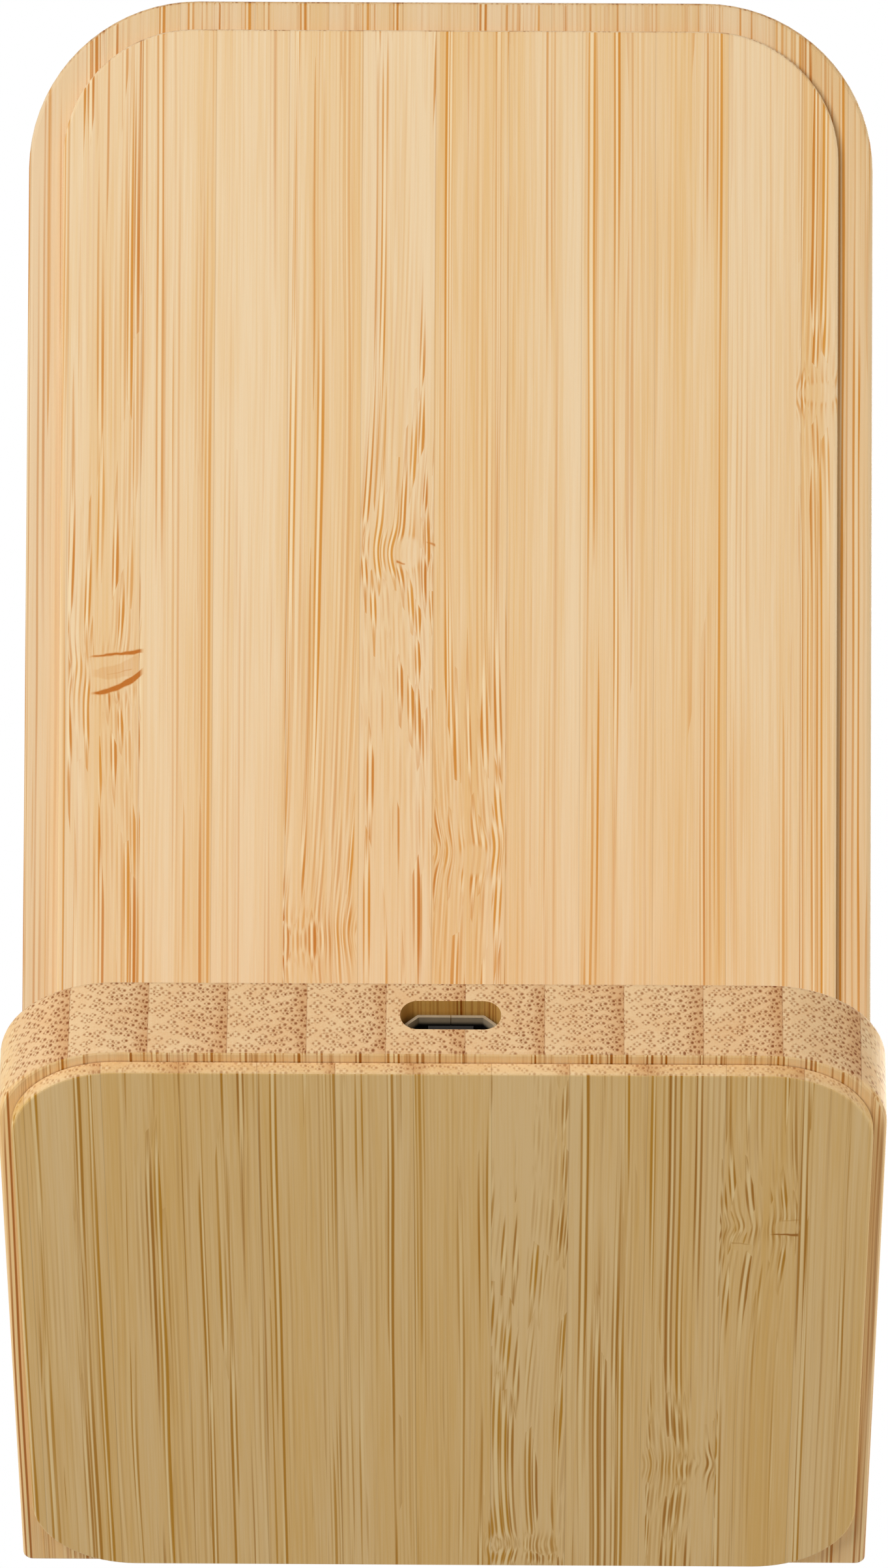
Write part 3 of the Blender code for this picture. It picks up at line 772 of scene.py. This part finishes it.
def end_colours(look, caps, middle, facts, dense_share, share, hue, glue):
    """Colour of a board's end grain: brown dots with a halo and a pale middle, and darker seams."""
    dots = caps * between(facts[1], *end_dot_range) * between(dense_share, *end_dot_depths)
    dots = dots * look["end_strength"]
    colour = mix(hue, look["end_ground"], look["end_ground_2"])
    colour = mix(middle * between(dense_share, *end_pith_depths), colour, end_pith)
    colour = mix(ramp(share, end_seam_shares) * end_seam_depth, colour, end_seam)
    colour = mix(halo(dots), colour, end_halo)
    colour = mix(dots, colour, end_cap)
    return mix(glue * end_glue_depth, colour, end_cap)


def bamboo(name, board):
    """Material of one board, from its strips and knots."""
    material, tree, shader = new_material(name)
    look = looks[board["look"]]
    pitch = board["pitch"]
    seed = board["seed"]
    x, y, z, end_on, side_on = board_coordinates(tree, board["frame"])
    place = (x, y, z)

    strip = calc("FLOOR", (x - board["seam"]) / pitch)
    share = (x - board["seam"]) / pitch - strip
    strength, warmth, wander, turned = strip_facts(strip, board)
    share = between(turned, 1.0 - share, share)
    shift_across, shift_through, knot, near_knot = fibre_shifts(place, strip, wander, turned, board)

    end = ramp(end_on, end_facing)
    depth = share * pitch + shift_across
    across, through, centre_depth, facts = bundles(depth, z + shift_through, dice(strip, seed))
    dense_share = clamp(centre_depth / pitch)
    through = through * between(larger(end, ramp(side_on, side_facing)), face_cap_reach, 1.0)
    caps, middle = bundle_marks(across, through, dense_share, facts, end)

    streak = grain(place, streak_waves, (strip * streak_per_strip, seed, 0.0), detail=1.0)
    strength = strength + near_knot * knot_line_gain
    fade = clamp(streak[0] * streak_contrast - streak_cut) * strength
    from_seam = calc("MINIMUM", share, 1.0 - share) * pitch
    glue = clamp(1.0 - from_seam / glue_half_width) * clamp(between(streak[1], *glue_range))

    fine = grain(place, fine_waves, detail=2.0)
    broad = grain(place, broad_waves, (strip * broad_per_strip, 0.0, 0.0))
    hue = swing(warmth, hue_by_strip) + swing(fine[0], hue_by_fine_noise)
    hue = hue + swing(broad[0], hue_by_broad_noise)
    hue = clamp(hue + dense_share * hue_by_density + hue_middle)

    face_colour = face_colours(place, board, caps, middle, facts, fade, knot, hue, glue)
    end_colour = end_colours(look, caps, middle, facts, dense_share, share, hue, glue)
    plug(shader.inputs["Base Color"], mix(end, face_colour, end_colour))

    ridges = grain(place, ridge_waves, detail=1.0)
    bump = tree.nodes.new("ShaderNodeBump")
    bump.inputs["Strength"].default_value = ridge_strength
    bump.inputs["Distance"].default_value = ridge_height
    plug(bump.inputs["Height"], ridges[0])
    tree.links.new(bump.outputs["Normal"], shader.inputs["Normal"])
    roughness = bamboo_roughness + fine[2] * fine_roughening + end * end_roughening - caps * cap_smoothing
    plug(shader.inputs["Roughness"], roughness)
    shader.inputs["Specular IOR Level"].default_value = bamboo_specular
    shader.inputs["Sheen Weight"].default_value = bamboo_sheen
    shader.inputs["Sheen Roughness"].default_value = bamboo_sheen_roughness
    return material


def port_painted_light_share(y):
    """Mask of painted shade inside the port's shell: 1 at its mouth, 0 where it is painted fully dark
    further in.
    """
    depth = (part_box("usb_shell")[1].y - y) * mm_per_m
    return 1.0 - ramp(depth, port_painted_shade_depths_mm)


def plain(name, colour, roughness, metallic=0.0, painted_port_shade=False):
    """Finish with a fine grain in its colour and roughness, and, if asked, painted shade that darkens it
    further inside the port.
    """
    material, tree, shader = new_material(name)
    place = tree.nodes.new("ShaderNodeTexCoord")
    x, y, z = parts_of(Value(place.outputs["Object"]))
    speck = noise(x * plain_waves_per_m, y * plain_waves_per_m, z * plain_waves_per_m, detail=2.0)
    darker = tuple(channel * (1.0 - 2 * plain_contrast) for channel in colour[:3])
    base = mix(speck[0], (*darker, 1.0), colour)
    # Painted shade: the colour darkens to near black further inside the port
    if painted_port_shade:
        base = mix(port_painted_light_share(y), port_painted_shade_colour, base)
    plug(shader.inputs["Base Color"], base)
    lowest = roughness - plain_roughness_range / 2
    plug(shader.inputs["Roughness"], lowest + speck[1] * plain_roughness_range)
    shader.inputs["Metallic"].default_value = metallic
    return material


def dress(node_name, material):
    """Gives a CAD node one material in place of its own."""
    node = frame["nodes"][node_name]
    node.data.materials.clear()
    node.data.materials.append(material)


def dress_all():
    """Dresses the boards and the small parts, and returns the small parts' materials by slot."""
    for name, board in boards.items():
        dress(name, bamboo("bamboo_" + name, board))
    small = {slot: plain(slot + "_fine", **finish) for slot, finish in small_finishes.items()}
    slots = {row["node"]: row["material_slot"] for row in frame["record"]["subparts"]}
    for node_name, slot in slots.items():
        if slot in small:
            dress(node_name, small[slot])
    return small


def shell_section(width, height, inset, lip):
    """Folded section of the port's shell, from one side of its seam round to the other.

    The top corners are chamfered, every bend is rounded, and all but the top leans out by lip."""
    side = width / 2 - inset
    top = height / 2 - inset
    chamfer = shell_chamfer - inset * (2 - math.sqrt(2))
    flat = side - chamfer
    low = -top - lip
    side_lip = side + lip
    corners = [
        (shell_seam / 2, top),
        (flat, top),
        (side_lip, top - chamfer),
        (side_lip, low),
        (-side_lip, low),
        (-side_lip, top - chamfer),
        (-flat, top),
        (-shell_seam / 2, top),
    ]
    radius = max(shell_bend_radius - inset, shell_least_bend)
    points = [Vector(corners[0])]
    for before, here, after in zip(corners, corners[1:], corners[2:]):
        corner = Vector(here)
        back = (Vector(before) - corner).normalized()
        ahead = (Vector(after) - corner).normalized()
        reach = radius / math.tan(back.angle(ahead) / 2)
        for step in range(shell_bend_steps + 1):
            share = step / shell_bend_steps
            arm = back * (reach * (1 - share) ** 2) + ahead * (reach * share**2)
            points.append(corner + arm)
    points.append(Vector(corners[-1]))
    return points


def quads(ring, other, count, places, aside=1):
    """Faces between two rings of count points, each from a place to the point that lies aside of it."""
    faces = []
    for place in places:
        first = ring * count + place
        last = other * count + place
        faces.append((first, first + aside, last + aside, last))
    return faces


def make_shell(material):
    """Sheet-metal shell of the port, with its folded seam and a flared mouth."""
    low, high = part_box("usb_shell")
    middle = (low + high) / 2
    width, _, height = high - low
    stations = [(high.y - from_mouth, lip) for from_mouth, lip in shell_flare]
    stations.append((low.y, 0.0))

    # Rings come in pairs, the outer one first
    rings = []
    for y, lip in stations:
        for inset in (0.0, shell_wall):
            section = shell_section(width, height, inset, lip)
            rings.append([(middle.x + p.x, y, middle.z + p.y) for p in section])
    count = len(rings[0])
    last_outer = len(rings) - 2
    round_section = range(count - 1)
    seam_edges = (0, count - 1)
    faces = []
    for ring in range(last_outer):
        faces += quads(ring, ring + 2, count, round_section)
    for outer in (0, last_outer):
        faces += quads(outer, outer + 1, count, round_section)
    for outer in range(0, last_outer, 2):
        faces += quads(outer, outer + 2, count, seam_edges, aside=count)
    mesh = bpy.data.meshes.new("port_shell")
    mesh.from_pydata([point for ring in rings for point in ring], [], faces)
    body = bmesh.new()
    body.from_mesh(mesh)
    bmesh.ops.recalc_face_normals(body, faces=body.faces)
    body.to_mesh(mesh)
    body.free()
    mesh.shade_smooth()
    mesh.set_sharp_from_angle(angle=shell_sharp_angle)
    mesh.materials.append(material)
    shell = bpy.data.objects.new("port_shell", mesh)
    bpy.context.scene.collection.objects.link(shell)
    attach(shell, "root")
    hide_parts("usb_shell")


def make_camera():
    """The photograph's camera, which looks at the rear from below."""
    _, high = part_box("base_board")
    cos_e = math.cos(camera_elevation)
    sin_e = math.sin(camera_elevation)
    forward = Vector((-math.sin(camera_azimuth) * cos_e, -math.cos(camera_azimuth) * cos_e, sin_e))
    level_right = forward.cross(Vector((0.0, 0.0, 1.0))).normalized()
    level_up = level_right.cross(forward)
    right = level_right * math.cos(camera_roll) + level_up * math.sin(camera_roll)
    up = right.cross(forward)
    data = bpy.data.cameras.new("camera")
    data.sensor_width = sensor_mm
    data.lens = focal_length_px * sensor_mm / photo_height_px
    data.clip_start = camera_clip_start
    data.clip_end = camera_clip_end
    camera = bpy.data.objects.new("camera", data)
    bpy.context.scene.collection.objects.link(camera)
    place = Vector(camera_from_port_end) + Vector((0.0, high.y, 0.0))
    turn = Matrix((right, up, -forward)).transposed()
    camera.matrix_world = Matrix.Translation(place) @ turn.to_4x4()
    bpy.context.scene.camera = camera


def add_lamp(name, direction, size, level, colour=white[:3], mirrored=True):
    """Soft square lamp that lights a surface facing it to the given level, with or without a gleam."""
    data = bpy.data.lights.new(name, "AREA")
    data.size = size
    data.energy = level * math.pi**2 * lamp_distance**2
    data.color = colour
    lamp = bpy.data.objects.new(name, data)
    bpy.context.scene.collection.objects.link(lamp)
    towards = Vector(direction).normalized()
    lamp.location = Vector(lamp_target) + towards * lamp_distance
    lamp.rotation_euler = towards.to_track_quat("Z", "Y").to_euler()
    lamp.visible_camera = False
    lamp.visible_glossy = mirrored


def make_lights():
    """Four lamps, and light from all around that is brighter where it is seen or mirrored."""
    add_lamp("key_rear", (0.45, 1.0, -0.42), size=0.35, level=0.62)
    add_lamp("side_left", (-1.0, -0.3, -0.1), size=0.2, level=0.46, colour=(0.85, 0.92, 1.0), mirrored=False)
    add_lamp("side_right", (1.0, -0.3, -0.1), size=0.2, level=0.32, colour=(0.76, 0.87, 1.0), mirrored=False)
    add_lamp("front_top", (-0.5, -0.9, 1.1), size=0.5, level=0.55)
    world = bpy.data.worlds.new("studio")
    bpy.context.scene.world = world
    world.use_nodes = True
    tree = world.node_tree
    background = tree.nodes["Background"]
    path = tree.nodes.new("ShaderNodeLightPath")
    seen = larger(
        Value(path.outputs["Is Camera Ray"]),
        Value(path.outputs["Is Glossy Ray"]),
        Value(path.outputs["Is Transmission Ray"]),
    )
    plug(background.inputs["Color"], mix(seen, ambient_tint, white))
    plug(background.inputs["Strength"], between(seen, ambient_level, 1.0))


def make_floor():
    """Pale floor that fades out, seen from above only, because the photograph looks up from below it."""
    half = floor_half_side
    mesh = bpy.data.meshes.new("floor")
    corners = [(-half, -half, 0.0), (half, -half, 0.0), (half, half, 0.0), (-half, half, 0.0)]
    mesh.from_pydata(corners, [], [(0, 1, 2, 3)])
    floor = bpy.data.objects.new("floor", mesh)
    bpy.context.scene.collection.objects.link(floor)
    floor.location.z = -floor_drop
    floor.visible_diffuse = False
    floor.visible_glossy = False
    floor.visible_transmission = False
    floor.visible_shadow = False
    material, tree, shader = new_material("floor_pale")
    shader.inputs["Base Color"].default_value = floor_colour
    shader.inputs["Roughness"].default_value = floor_roughness
    shader.inputs["Emission Color"].default_value = white
    shader.inputs["Emission Strength"].default_value = floor_glow
    surface = tree.nodes.new("ShaderNodeNewGeometry")
    place = tree.nodes.new("ShaderNodeTexCoord")
    x, y, _ = parts_of(Value(place.outputs["Object"]))
    far = ramp(calc("SQRT", x * x + y * y), floor_fade_radii)
    clear = tree.nodes.new("ShaderNodeBsdfTransparent")
    choice = tree.nodes.new("ShaderNodeMixShader")
    plug(choice.inputs[0], larger(Value(surface.outputs["Backfacing"]), far))
    tree.links.new(shader.outputs[0], choice.inputs[1])
    tree.links.new(clear.outputs[0], choice.inputs[2])
    tree.links.new(choice.outputs[0], tree.nodes["Material Output"].inputs["Surface"])
    mesh.materials.append(material)


make_camera()
small_materials = dress_all()
make_shell(small_materials["shell_steel"])
make_lights()
make_floor()
bpy.context.scene.view_settings.view_transform = "Standard"
